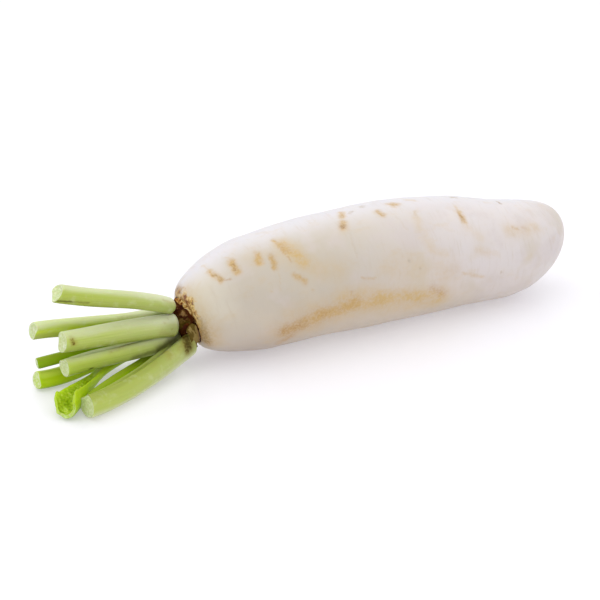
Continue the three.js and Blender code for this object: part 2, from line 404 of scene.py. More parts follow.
root = {
    "length": 234, "quarterRadii": [28.8, 32.0, 33.5, 30.0, 24.0], "crownRadius": 13.2,
    "shoulderLength": 38, "shoulderPower": 1.6, "tipLength": 52, "tipPower": 2.95,
    "crownRise": -5.2, "crownSwing": 1.2, "tipRise": 16, "tipSwing": 11.5, "sideBend": 5,
    "waveDepth": 0.3, "slowWave": 17, "quickWave": 7.5, "quickShare": 0.6, "flatDepth": 0.5,
    "rings": 338, "sides": 288, "lumps": 0.16, "tipLumps": 0.3,
}
bodyCurve = np.polyfit(np.linspace(0, 1, 5), root["quarterRadii"], 4)


# Middle line and radius of the root at a distance from its crown face. The body
# is a quartic through five radii; shoulder and tip are rounded by powers.
def rootStation(distance):
    share = distance / root["length"]
    body = np.polyval(bodyCurve, share)
    towardsCrown = np.clip(1 - distance / root["shoulderLength"], 0, 1)
    towardsTip = np.clip((distance - root["length"] + root["tipLength"]) / root["tipLength"], 0, 1)
    swing = root["crownSwing"] * towardsCrown**2 + root["tipSwing"] * towardsTip**2
    bow = root["sideBend"] * 4 * share * (1 - share)
    rise = root["crownRise"] * towardsCrown**2 + root["tipRise"] * towardsTip**2
    middle = np.stack([distance, swing + bow, body - root["flatDepth"] + rise], axis=-1)
    shoulder = np.sqrt(1 - towardsCrown ** root["shoulderPower"])
    tip = np.sqrt(1 - towardsTip ** root["tipPower"])
    radius = (root["crownRadius"] + (body - root["crownRadius"]) * shoulder) * tip
    return middle + originShift, radius


# axes of the cross-section: along, to the near side, and up
def rootAxes(distance):
    before, _ = rootStation(np.maximum(distance - 0.5, 0))
    after, _ = rootStation(np.minimum(distance + 0.5, root["length"]))
    along = unit(after - before)
    near = unit(np.cross(along, [0.0, 0.0, 1.0]))
    return along, near, np.cross(near, along)


# the middle of the crown face, and the axes there
crownFace = (rootStation(np.array(0.0))[0], *rootAxes(np.array(0.0)))


# slow swellings that run round and along the root
def skinWave(distance, angle):
    fade = np.clip(distance / root["shoulderLength"], 0, 1)
    slow = np.sin(distance / root["slowWave"] + 2 * np.cos(angle))
    quick = np.sin(distance / root["quickWave"] - 1.5 * np.sin(angle))
    return root["waveDepth"] * fade * (slow + root["quickShare"] * quick)


# distances at which rings stand evenly along the root's outline
def evenRings(count):
    fine = root["length"] * (1 - np.cos(np.linspace(0, np.pi, 4000))) / 2
    _, radius = rootStation(fine)
    steps = np.hypot(np.diff(fine), np.diff(radius))
    walked = np.concatenate([[0], np.cumsum(steps)])
    return np.interp(np.arange(count) * walked[-1] / count, walked, fine)


# Marks on the skin, each a stroke from one place to another. First the distance from
# the crown face and the angle round, in degrees from the near side up over the top,
# where it starts and where it ends. Then half its width in mm, how strong it is in
# tan, rust and dark, and how deep it is sunk.
skinMarks = [
    # rootlet scars near the crown
    (14.9, 76, 16.8, 54.5, 1.1, 0.8, 0.35, 0, 0.16),
    (15.6, 68, 16.8, 55, 0.4, 0.2, 0.6, 0.25, 0.1),
    (15.0, 92, 14.9, 76, 0.5, 0.35, 0.05, 0, 0),
    (17.1, 53.6, 21.0, 51.4, 0.28, 0.3, 0.5, 0.15, 0.05),
    (24.8, 69.7, 24.6, 56, 1.8, 1.0, 0.4, 0.0, 0.3),
    (24.9, 66, 24.3, 58, 0.7, 0.2, 0.8, 0.25, 0.1),
    (24.0, 80.4, 24.8, 70.7, 0.5, 0.4, 0.1, 0, 0),
    (36.5, 65, 35.2, 56, 1.9, 0.95, 0.4, 0, 0.2),
    (31.1, 56.3, 34.2, 53.1, 0.3, 0.35, 0.1, 0, 0),
    (42.1, 58, 41.3, 46, 1.8, 0.85, 0.4, 0.05, 0.25),
    (42.2, 38.4, 40.5, 22, 0.4, 0.25, 0.05, 0, 0),
    (33.0, 66, 44.0, 60, 5.0, 0.14, 0, 0, 0),
    # the long smear beside them
    (48.9, 77, 49.8, 64.7, 1.2, 0.8, 0.3, 0, 0.15),
    (49.6, 66, 50.7, 57.5, 1.5, 0.9, 0.45, 0, 0.15),
    (51.6, 67, 57.4, 42, 4.8, 0.74, 0.07, 0, 0),
    (50.8, 68, 52.6, 59, 2.6, 0.8, 0.3, 0, 0),
    (54.0, 52, 65.0, 30, 6.0, 0.32, 0, 0, 0),
    (58.0, 40, 76.0, 24, 7.0, 0.22, 0, 0, 0),
    (50.9, 53, 51.5, 46, 0.5, 0.4, 0.5, 0, 0.05),
    (46.0, 60, 50.0, 44, 4.0, 0.2, 0, 0, 0),
    (50.4, 32.5, 54.8, 25, 1.8, 0.7, 0.34, 0, 0.08),
    # pits and spots along the top
    (93.2, 91, 90.1, 81, 1.8, 0.85, 0.3, 0, 0.4),
    (91.9, 87, 91.0, 83.4, 0.9, 0.3, 0.5, 0.1, 0.2),
    (88.7, 73.5, 86.5, 66, 2.2, 1.0, 0.45, 0, 0.5),
    (87.7, 70, 87.0, 67.3, 1.2, 0.3, 0.9, 0.35, 0.3),
    (95.8, 85, 98.2, 88.4, 0.8, 0.25, 0.05, 0.25, 0.08),
    (105.2, 92, 106.0, 94.6, 1.2, 0.3, 0.05, 0.22, 0.1),
    (109.9, 76, 110.9, 71, 1.9, 0.85, 0.45, 0.1, 0.25),
    (119.8, 86.5, 123.6, 84.3, 1.9, 0.8, 0.4, 0.05, 0.3),
    (122.2, 88, 120.4, 81, 1.7, 0.6, 0.2, 0, 0.1),
    (131.8, 93, 135.5, 90.3, 1.7, 0.4, 0.05, 0, 0.1),
    (129.8, 69.5, 129.0, 64, 1.2, 0.4, 0, 0.08, 0.1),
    (128.6, 62, 127.6, 51, 2.6, 0.3, 0, 0, 0),
    (159.0, 94.6, 162.4, 93.7, 0.7, 0.4, 0.1, 0.4, 0.3),
    (155.7, 74, 155.6, 64, 0.9, 0.45, 0.08, 0, 0.15),
    (155.6, 64, 156.0, 54, 1.95, 0.8, 0.36, 0, 0.25),
    (155.6, 60.5, 155.8, 57, 1.2, 0.3, 0.75, 0.2, 0.1),
    (156.0, 53, 157.0, 47, 1.2, 0.4, 0.08, 0, 0.08),
    (156.1, 47, 163.4, 35, 3.0, 0.18, 0, 0, 0),
    (190.0, 90.5, 189.8, 83.5, 0.75, 0.4, 0.3, 0.45, 0.3),
    (183.5, 42, 202.5, 38, 3.8, 0.34, 0.05, 0, 0),
    (187.0, 43.5, 189.5, 42.5, 1.4, 0.5, 0.25, 0, 0.08),
    (193.5, 42.5, 196.0, 41.5, 1.3, 0.4, 0.15, 0, 0.05),
    # specks and faint blotches on the side
    (115.8, 21.6, 116.1, 21.2, 0.7, 0.3, 0, 0.35, 0.1),
    (122.7, 12.5, 122.9, 12.3, 0.6, 0.3, 0, 0.2, 0.05),
    (177.1, -4.5, 177.3, -4.7, 0.6, 0.3, 0, 0.25, 0.05),
    (35.4, 24.9, 35.7, 24.5, 0.6, 0.35, 0.1, 0, 0),
    (57.8, 14.9, 58.0, 14.5, 0.8, 0.35, 0.15, 0, 0),
    (128.9, 39.7, 131.6, 27.5, 3.5, 0.22, 0, 0, 0),
    (131.6, 27.5, 140.0, 22, 3.0, 0.28, 0, 0, 0),
    (160.8, 22.4, 167.4, 17.4, 2.5, 0.2, 0.08, 0, 0),
    (150.9, 1, 165.2, -7, 1.1, 0.35, 0.1, 0, 0),
    # the broad tan and rust band low on the near side: partly a stain, partly painted shade along
    # the bottom
    (131.5, -10, 140.0, -19.5, 2.8, 0.45, 0.35, 0, 0),
    (97.4, -9, 131.2, -19.3, 5.6, 0.9, 0.1, 0, 0),
    (82.0, -10, 98.0, -13, 5.6, 0.85, 0.16, 0, 0),
    (96.0, -2, 111.9, -6, 2.4, 0.6, 0.05, 0, 0.05),
    (76.0, -6, 137.0, -24, 9.0, 0.62, 0, 0, 0),
    (86.9, 14.6, 94.7, 12.3, 0.7, 0.4, 0.2, 0, 0.05),
    (106.0, 17, 142.0, 3, 9.0, 0.26, 0, 0, 0),
    (79.8, 4.8, 79.8, -1, 1.0, 0.5, 0.3, 0, 0.05),
    (82.0, -9, 66.5, -14, 5.4, 1.0, 0.38, 0, 0),
    (66.5, -13, 52.1, -17.5, 5.4, 1.0, 0.5, 0.02, 0),
    (52.1, -18.5, 41.0, -23, 4.6, 0.9, 0.75, 0.07, 0),
    (45.4, -33.7, 40.7, -42.3, 3.0, 0.4, 0.5, 0, 0),
    (38.0, -24, 80.0, -14, 8.0, 0.5, 0.08, 0, 0),
    (44.0, -4, 64.0, -5, 6.0, 0.34, 0, 0, 0),
    (2.6, 80, 2.8, 26, 4.4, 0.4, 0, 0, 0),
    # dark brown low at the crown's foot: partly stain, partly painted shade
    (0.8, 16, 0.9, -32, 2.4, 0.9, 0.25, 0.4, 0),
    (2.4, 14, 3.0, -24, 5.0, 0.55, 0.05, 0.05, 0),
    # rusty skin at the crown: on top, and pinkish low on the near side
    (0.2, 118, 0.9, 96, 1.7, 0.6, 1.0, 0.45, 0.05),
    (2.7, 12, 2.3, -8, 2.4, 0.4, 0, 0, 0),
    (1.5, -22, 2.0, -40, 2.2, 0.35, 0.35, 0, 0),
    (0.6, -2, 1.8, -3, 0.8, 0.3, 0.6, 0.4, 0),
    # creases across the body
    (87.9, 60, 86.8, 34, 0.5, 0.12, 0, 0.03, 0.25),
    (116.0, 74, 120.0, 50, 0.5, 0.1, 0, 0.02, 0.22),
]

# The row of rootlet scars on the far side, with its places drawn by chance.
farMarks = {"count": 15, "angle": 208, "spread": 10, "from": 14, "to": 206, "seed": 41}


def marksOnFarSide():
    draw = np.random.default_rng(farMarks["seed"])
    marks = []
    for middle in np.linspace(farMarks["from"], farMarks["to"], farMarks["count"]):
        distance = middle + draw.uniform(-4, 4)
        angle = farMarks["angle"] + draw.uniform(-1, 1) * farMarks["spread"]
        reach = draw.uniform(1.5, 7)
        strength = draw.uniform(0.4, 1)
        marks.append((
            distance, angle - reach, distance + draw.uniform(-1, 1), angle + reach,
            draw.uniform(0.7, 1.8), 0.85 * strength, 0.4 * strength,
            0.15 * strength * draw.uniform(0, 1), 0.3 * strength,
        ))
    return marks


markStyle = {"wander": 0.7, "broadFrom": 2, "patchiness": 0.3, "rim": 0.35, "rimWidth": 0.5}
tipScar = {"radius": 2.6, "tan": 0.8, "rust": 0.6, "dark": 0.25, "sunk": 0.5}


# How strong tan, rust and dark are at each place, and how deep the skin is sunk:
# each mark fades with the square of the distance from its stroke. Noise makes
# narrow marks wander and broad ones patchy, and a faint rim stands round what is
# sunk. The tip ends in a scar.
def skinFields(distance, angle, places):
    wander = markStyle["wander"]
    along = distance + wander * roughNoise(places, 2.6, 11)
    wanderRound = wander * roughNoise(places, 2.4, 23)
    patchy = 1 + markStyle["patchiness"] * roughNoise(places, 7.0, 83, 2)
    degrees = np.degrees(angle)
    fields = {key: np.zeros_like(distance) for key in ("tan", "rust", "dark", "sunk")}
    for mark in skinMarks + marksOnFarSide():
        start, _, end, _, half, *strengths, sunk = mark
        _, girth = rootStation(np.array((start + end) / 2))
        if half < markStyle["broadFrom"]:
            away = strokeAway(mark, along, degrees, girth, wanderRound)
            core = bell(away)
        else:
            away = strokeAway(mark, distance, degrees, girth, 0)
            core = bell(away) * patchy
        for key, strength in zip(fields, strengths):
            fields[key] = np.maximum(fields[key], strength * core)
        rim = bell(away - 1.6, markStyle["rimWidth"])
        fields["sunk"] = fields["sunk"] + sunk * (core - markStyle["rim"] * rim)
    _, radius = rootStation(distance)
    atTip = bell(radius, tipScar["radius"]) * (distance > root["length"] / 2)
    return {key: np.maximum(values, tipScar[key] * atTip) for key, values in fields.items()}


# How the crown stains the shoulder. Bark is 1 on the crown face and fades within
# about a millimetre. Amber reaches further out, and furthest on the upper near side.
crownStain = {"bark": 0.45, "reach": 1.6, "extra": 5.8, "angle": 58, "spread": 48, "ragged": 0.5}


def stainFromCrown(distance, angle, places):
    side = bell(turned(np.degrees(angle) - crownStain["angle"]), crownStain["spread"])
    ragged = 1 + crownStain["ragged"] * roughNoise(places, 2.4, 37)
    _, radius = rootStation(distance)
    spread = np.hypot(distance, radius - root["crownRadius"])
    bark = bell(spread, crownStain["bark"] * ragged)
    reach = (crownStain["reach"] + crownStain["extra"] * side) * ragged
    amber = smoothStep(1.35, 0.1, spread / np.maximum(reach, 0.4))
    return bark * (1 - side) ** 3, amber * mixed(0.6, 1, side)


# The skin: reach = radius + waves + lumps - sunk marks, carried round the middle
# line at each distance. The belly is pressed flat on the table at height 0.
def makeRootSkin(material):
    distance = evenRings(root["rings"])[:, None] * np.ones(root["sides"])
    angle = ringAngles(root["rings"], root["sides"])
    middle, radius = rootStation(distance)
    _, near, up = rootAxes(distance)
    outward = outwardAt(near, up, angle)
    places = middle + radius[..., None] * outward
    fields = skinFields(distance, angle, places)
    bark, amber = stainFromCrown(distance, angle, places)
    small = np.minimum(1, radius / root["crownRadius"])
    towardsTip = smoothStep(root["length"] - 60, root["length"], distance)
    lumps = mixed(root["lumps"], root["tipLumps"], towardsTip) * roughNoise(places, 13.0, 3)
    crust = (0.35 * bark + 0.12 * amber) * roughNoise(places, 1.6, 51)
    wave = skinWave(distance, angle) + lumps * smoothStep(0, 3, distance)
    reach = radius + small * wave - fields["sunk"] + crust * small
    skin = middle + reach[..., None] * outward
    skin[..., 2] = np.maximum(skin[..., 2], 0)

    ends, _ = rootStation(np.array([0.0, root["length"]]))
    degrees = np.degrees(angle)
    # mask of the top of the root, which the material paints whiter as painted light
    upper = smoothStep(56, 100, degrees) * smoothStep(215, 160, degrees)
    fields = {**fields, "bark": bark, "amber": amber, "upper": upper}
    fields = {key: withEnds(values, values[0, 0], values[-1, 0]) for key, values in fields.items()}
    straight = [radius * np.cos(angle), radius * np.sin(angle), distance]
    straight = [withEnds(values) for values in straight]
    straight[2][-1] = root["length"]
    fields["straight"] = np.stack(straight, axis=-1) * millimetre
    addPiece("rootSkin", closedTube(skin, ends), fields, "taproot", material)


rootPaints = painted({
    "white": (225, 217, 215), "shoulder": (204, 194, 179), "collar": (220, 212, 195),
    "paintedTopLight": (226, 223, 228), "cream": (212, 200, 180), "rose": (214, 203, 200),
    "low": (205, 191, 174), "paintedLowShade": (182, 168, 158), "vein": (200, 184, 162),
    "tan": (210, 178, 112), "rust": (178, 124, 54), "dark": (96, 68, 36),
    "bark": (62, 26, 10),
})


# The skin is white, warmer at the shoulder, darker and warmer low on the body, partly
# as a stain and partly as painted shade, with more painted shade low near the crown,
# lighter round the crown's upper side, and painted whitest along the top as painted
# light. Faint lines run round it, with faint yellowish clouds and specks. The mottled
# marks lie over that, then the stain from the crown, and bark at its foot.
def makeRootMaterial():
    material, tree, shader = newMaterial("radishSkin")
    place, straight = objectPlace(tree), readField(tree, "straight", vector=True)
    where = joinNode("ShaderNodeSeparateXYZ", {"Vector": straight}).outputs
    up, along = where["Y"], where["Z"]
    mottle = eased(grain(place, 2.2, 4.0, 0.6), 0.32, 0.68, 0.7, 1.2)
    fine = eased(grain(place, 1.1, 3.0, 0.6), 0.36, 0.64, 0.5, 1.2)
    tan, bark = readField(tree, "tan"), readField(tree, "bark")
    rough = nudged(bark, grain(place, 1.7, 5.0, 0.66), 0.8)
    c = rootPaints
    base = layered(
        blended(eased(along, 0.055, 0.165), c["shoulder"], c["white"]),
        (times(eased(grain(place, 26), 0.42, 0.62), eased(up, 0.026, 0.004, 0, 0.6)), c["cream"]),
        (eased(grain(straight, 17), 0.48, 0.7, 0, 0.5), c["rose"]),
        # darker and warmer low on the body: partly a stain, partly painted shade
        (times(eased(up, 0.012, -0.024, 0, 0.6), eased(along, 0.22, 0.15, 0.35, 1.0)), c["low"]),
        # painted shade low on the body near the crown
        (times(eased(along, 0.075, 0.02), eased(up, -0.004, -0.024, 0, 0.6)), c["paintedLowShade"]),
        (times(eased(along, 0.026, 0.008), eased(up, -0.002, 0.01, 0, 0.85)), c["collar"]),
        # painted light: the top of the root painted whiter
        (times(readField(tree, "upper"), 0.9), c["paintedTopLight"]),
        (eased(grain(straight, 3.2, 4.0, 0.55, (3.0, 3.0, 0.55)), 0.52, 0.78, 0, 0.22), c["vein"]),
        (eased(grain(straight, 7.0, 5.0, 0.62, (1, 1, 1.6)), 0.54, 0.72, 0, 0.14), c["tan"]),
        (eased(grain(place, 1.5, 2.0), 0.70, 0.80, 0, 0.3), c["vein"]),
        (times(times(tan, mottle, clamped=True), 0.85), c["tan"]),
        (times(times(readField(tree, "rust"), fine, clamped=True), 0.75), c["rust"]),
        (times(times(readField(tree, "dark"), fine, clamped=True), 0.85), c["dark"]),
        stainLayer(tree, place),
        (times(eased(rough, 0.25, 0.62), eased(bark, 0.02, 0.2)), c["bark"]),
    )
    gloss = plus(eased(grain(place, 4), 0.3, 0.7, 0.40, 0.5), times(tan, 0.1))
    crust = times(grain(place, 0.8, 4.0), times(bark, 4.0))
    setInputs(shader, {
        "Base Color": base,
        "Roughness": plus(gloss, times(bark, 0.3), clamped=True),
        "Subsurface Weight": 0.3,
        "Subsurface Radius": (1.0, 0.8, 0.6),
        "Subsurface Scale": 0.003,
        "Normal": bumped(plus(skinRelief(straight, 0.9, 2.2), crust), 0.4, 0.0002),
    })
    return material


makeRootSkin(makeRootMaterial())
print("root made")


# the crown

crown = {
    "height": 10, "radius": 12.6, "squareness": 0.8, "scarDepth": 1.0, "scarsPerTurn": 7,
    "scarTiers": 3, "rings": 110, "sides": 264, "cork": 0.7, "flare": 0.3, "brim": 0.5,
    "fibres": 41, "fibreDepth": 0.25, "amberRise": 2.2,
}


# places at a height over the crown face and a reach out from its middle
def overCrown(height, outward, reach):
    return crownFace[0] - crownFace[1] * height[..., None] + outward * reach[..., None]


# The stained skin climbs the crown on its upper side, to this height in mm.
def stainHeight(angle):
    aside = turned(np.degrees(angle) - 90)
    return crown["amberRise"] * smoothStep(-66, -6, aside) * smoothStep(75, 40, aside)


# A low dome on the crown face: height goes with the sine of the lift and reach
# with its cosine, both to a power, and tiers of leaf scars swell the reach.
def makeCrownCork(material):
    base, along, near, up = crownFace
    lift = (np.arange(crown["rings"]) / crown["rings"])[:, None] * np.ones(crown["sides"])
    angle = ringAngles(crown["rings"], crown["sides"])
    tier = lift * crown["scarTiers"]
    lobes = np.cos(crown["scarsPerTurn"] * angle + np.pi * np.floor(tier))
    scar = np.maximum(0, lobes) * np.sin(np.pi * (tier % 1))
    height = crown["height"] * np.sin(lift * np.pi / 2) ** crown["squareness"]
    bend = np.cos(lift * np.pi / 2) ** crown["squareness"]
    reach = (crown["radius"] + crown["scarDepth"] * (scar - 0.35)) * bend
    outward = outwardAt(near, up, angle)
    places = overCrown(height, outward, reach)
    brim = bell(lift, 0.05)
    flare = crown["flare"] * brim * (0.7 + 0.6 * roughNoise(places, 4.0, 61))
    cork = crown["cork"] * roughNoise(places, 2.6, 67, 4) * (1 - 0.6 * scar)
    fibres = np.sin(crown["fibres"] * angle + 3 * roughNoise(places, 5.0, 71)) * (1 - scar)
    fibres = crown["fibreDepth"] * fibres
    reach = reach + (cork + fibres) * np.sqrt(bend) + flare
    height = height + cork * (1 - bend) - brim * crown["brim"]
    dome = overCrown(height, outward, np.maximum(reach, 0.05))
    ends = np.stack([base + along * 0.9, base - along * crown["height"]])

    # stained skin above a dark band, then olive bark and pale flakes; the lower
    # edge is pinkish
    def sideBell(degrees, width):
        return bell(turned(np.degrees(angle) - degrees), width)

    over = height - stainHeight(angle) + 0.5 * roughNoise(places, 2.4, 43)
    onTop = smoothStep(-66, -46, turned(np.degrees(angle) - 90))
    flakes = sideBell(62, 30) * smoothStep(1.4, 2.4, over)
    patches = smoothStep(-0.2, 0.4, roughNoise(places, 2.4, 97)) * (0.25 + 0.75 * flakes)
    flaky = 0.75 * patches * smoothStep(0.8, 2, over)
    shape = closedTube(dome, ends)
    fields = {
        "amber": withEnds(smoothStep(0.4, -0.5, over) * onTop),
        "olive": withEnds(np.maximum(0.6 * scar, sideBell(31, 20) * smoothStep(1.8, 3.2, over))),
        "pale": withEnds(np.maximum(flaky, sideBell(-32, 34) * smoothStep(2.4, 0.8, height))),
        "leafy": np.zeros(len(shape[0])),
    }
    addPiece("crownCork", shape, fields, "crown", material)


# torn ends of old leaf bases that stand round the crown
scales = {
    "count": 40, "rings": 16, "sides": 18, "thick": 0.34, "seed": 7, "step": 0.382,
    "onRootLength": (1.2, 2.2), "length": (2.2, 4.6), "half": (1.2, 2.6), "back": (0.4, 4.5),
}


# Each scale is a flattened tube along a curved line: its half width swells and
# closes like a tongue, and its torn end is cut short unevenly.
def makeCrownScales(material):
    draw = np.random.default_rng(scales["seed"])
    base, along, near, up = crownFace
    share = np.linspace(0, 1, scales["rings"])[:, None]
    turn = np.arange(scales["sides"]) * 2 * np.pi / scales["sides"]
    perScale = scales["rings"] * scales["sides"] + 2
    shapes, fields = [], {"amber": [], "olive": [], "pale": [], "leafy": []}
    for k in range(scales["count"]):
        angle = 2 * np.pi * (k * scales["step"] + draw.uniform(-0.04, 0.04))
        outward = outwardAt(near, up, angle)
        across = np.cross(along, outward)
        onRoot = k % 4 == 0
        length = draw.uniform(*scales["onRootLength" if onRoot else "length"])
        half = draw.uniform(*scales["half"])
        back = draw.uniform(*scales["back"])
        start = base + outward * (crown["radius"] - 0.8) - along * back
        path = -along * 0.9 + outward * draw.uniform(-0.25, 0.25)
        if onRoot:
            start = base + outward * (crown["radius"] - 0.7) - along * 0.4
            path = outward * 0.9 + along * draw.uniform(-0.1, 0.1)
        path = unit(path)
        normal = np.cross(across, path)
        curl = draw.uniform(-0.6, 0.7)
        width = half * (1 - share**3) ** 0.5 * (0.72 + 0.28 * np.sin(np.pi * share))
        torn = 0.5 * np.sin(turn * 3 + draw.uniform(0, 6))
        torn = torn + 0.35 * np.sin(turn * 5 + draw.uniform(0, 6))
        side = width * np.cos(turn)
        thick = scales["thick"] * np.sin(turn) * (1 - share**4) ** 0.5
        wrap = -0.16 * side**2 / half
        line = start + path * (length * share)[..., None] + normal * (curl * share**2)[..., None]
        rows = line + across * side[..., None] + normal * (thick + wrap)[..., None]
        rows = rows + path * (torn * share**2 * 0.8)[..., None]
        rows = rows + normal * (0.2 * roughNoise(rows, 1.4, 90 + k))[..., None]
        ends = np.stack([line[0, 0] - path * 0.2, rows[-1].mean(axis=0) + path * 0.1])
        points, *faces = closedTube(rows, ends)
        shapes.append((points, *(part + k * perScale for part in faces)))
        paleness = draw.uniform(0.6, 1.0) if k % 3 == 1 else draw.uniform(0, 0.45)
        leafy = 0.6 * draw.uniform(0, 1) * (k % 3 == 2)
        stained = 0.9 * (stainHeight(angle) > (0.4 if onRoot else back + 0.5))
        fields["amber"].append(np.full(perScale, stained))
        fields["olive"].append(np.zeros(perScale))
        fields["pale"].append(paleness * withEnds(share * np.ones(scales["sides"]), 0, 1))
        fields["leafy"].append(np.full(perScale, leafy))
    shape = [np.concatenate(parts) for parts in zip(*shapes)]
    fields = {key: np.concatenate(parts) for key, parts in fields.items()}
    addPiece("crownScales", shape, fields, None, material)


# the base of an old leaf, withered flat over the foot of the nearest stalk
sheath = {
    "rows": 90, "sides": 72, "thick": 0.5, "ringAngles": (-48, 10), "farAngles": (-32, 19),
    "ringBack": (2.4, 0.5), "width": 6.0, "ringReach": 13.3, "farReach": (16.8, 12.9),
    "bead": 0.55,
}


# A flattened tube bent round the crown. Its rows go up the ring of the crown and
# its columns out along the stalks and back underneath. The edge at the root is a
# bead, the other one is torn.
def makeOldSheath(material):
    _, along, near, up = crownFace
    rows, sides = sheath["rows"], sheath["sides"]
    rise = ((np.arange(rows) + 0.5) / rows)[:, None] * np.ones(sides)
    turn = ringAngles(rows, sides)
    out = (1 - np.cos(turn)) / 2
    close = (1 - np.abs(2 * rise - 1) ** 5) ** 0.5
    low, high = (mixed(sheath["ringAngles"][k], sheath["farAngles"][k], out) for k in range(2))
    outward = outwardAt(near, up, np.radians(mixed(low, high, rise)))
    farReach = mixed(*sheath["farReach"], smoothStep(0.1, 0.8, rise))
    thick = (sheath["thick"] + sheath["bead"] * bell(out, 0.1)) * np.sin(turn) * close
    reach = mixed(sheath["ringReach"], farReach, out) + 0.5 * np.sin(np.pi * out) + thick
    back = mixed(*sheath["ringBack"], 1 - (1 - rise) ** 2) + sheath["width"] * out * close
    skin = overCrown(back, outward, reach)
    torn = 1.2 * out**3 * roughNoise(skin * [0.2, 1, 1], 2.6, 131)
    skin = skin - along * torn[..., None]
    skin = skin + outward * (0.3 * roughNoise(skin, 2.0, 137, 4))[..., None]
    shape = closedTube(skin, np.stack([skin[0].mean(axis=0), skin[-1].mean(axis=0)]))
    streaks = roughNoise(np.stack([1.6 * back, 7 * rise, 4 * out], axis=-1), 1.6, 139)
    withered = smoothStep(0.1, 0.75, out + 0.5 * streaks + 0.2 * roughNoise(skin, 2.4, 141))
    fields = {
        "amber": np.zeros(len(shape[0])),
        "olive": withEnds(0.95 * withered),
        "pale": withEnds(0.7 * bell(out, 0.16)),
        "leafy": np.ones(len(shape[0])),
    }
    addPiece("oldSheath", shape, fields, None, material)


crownPaints = painted({
    "maroon": (52, 10, 0), "umber": (80, 40, 6), "olive": (84, 66, 10),
    "straw": (150, 116, 70), "flesh": (172, 140, 104), "leaf": (142, 122, 70),
})


def makeCrownMaterial():
    material, tree, shader = newMaterial("crownBark")
    c = crownPaints
    place = objectPlace(tree)
    coarse, fine = grain(place, 3.0, 4.0), grain(place, 0.9, 5.0, 0.7)
    pale = readField(tree, "pale")
    base = layered(
        blended(eased(coarse, 0.38, 0.66), c["maroon"], c["umber"]),
        (eased(fine, 0.5, 0.75, 0, 0.5), c["umber"]),
        (eased(nudged(readField(tree, "leafy"), fine), 0.2, 0.7), c["leaf"]),
        (times(frayed(place, readField(tree, "olive"), 2.0, 0.7), 0.85), c["olive"]),
        (times(frayed(place, pale, 1.2, 0.9), 0.8), c["straw"]),
        (eased(pale, 0.55, 1.0, 0, 0.85), c["flesh"]),
        stainLayer(tree, place),
    )
    setInputs(shader, {
        "Base Color": base,
        "Roughness": eased(coarse, 0.3, 0.7, 0.65, 0.88),
        "Specular IOR Level": 0.08,
        "Normal": bumped(plus(coarse, times(fine, 0.6)), 0.8, 0.0005),
    })
    return material


crownMaterial = makeCrownMaterial()
makeCrownCork(crownMaterial)
makeCrownScales(crownMaterial)
makeOldSheath(crownMaterial)
print("crown made")


# the leaf stalks

stalk = {
    "lip": 3.5, "footLength": 11, "channel": 0.42, "innerReach": 0.84, "lipRings": 12,
    "bodyRings": 120, "edgeRings": 5, "halfSides": 60, "capRows": 20, "edge": 0.5,
    "ribs": 26, "ribDepth": 0.045, "lumps": 0.2, "ridges": 0.12, "dish": 0.35, "sponge": 0.14,
    "footShade": 0.55, "endVivid": 0.4,
}

trough = {
    "openFrom": 0.5, "openTo": 0.78, "endHalf": (7.5, 8.4), "wall": 2.2, "rimRise": 3.2,
    "tearFrom": 0.7, "tongue": 1.2, "endTear": 1.28, "rimTear": 1.28, "rimBulge": 0.9,
    "crumple": 0.55,
}
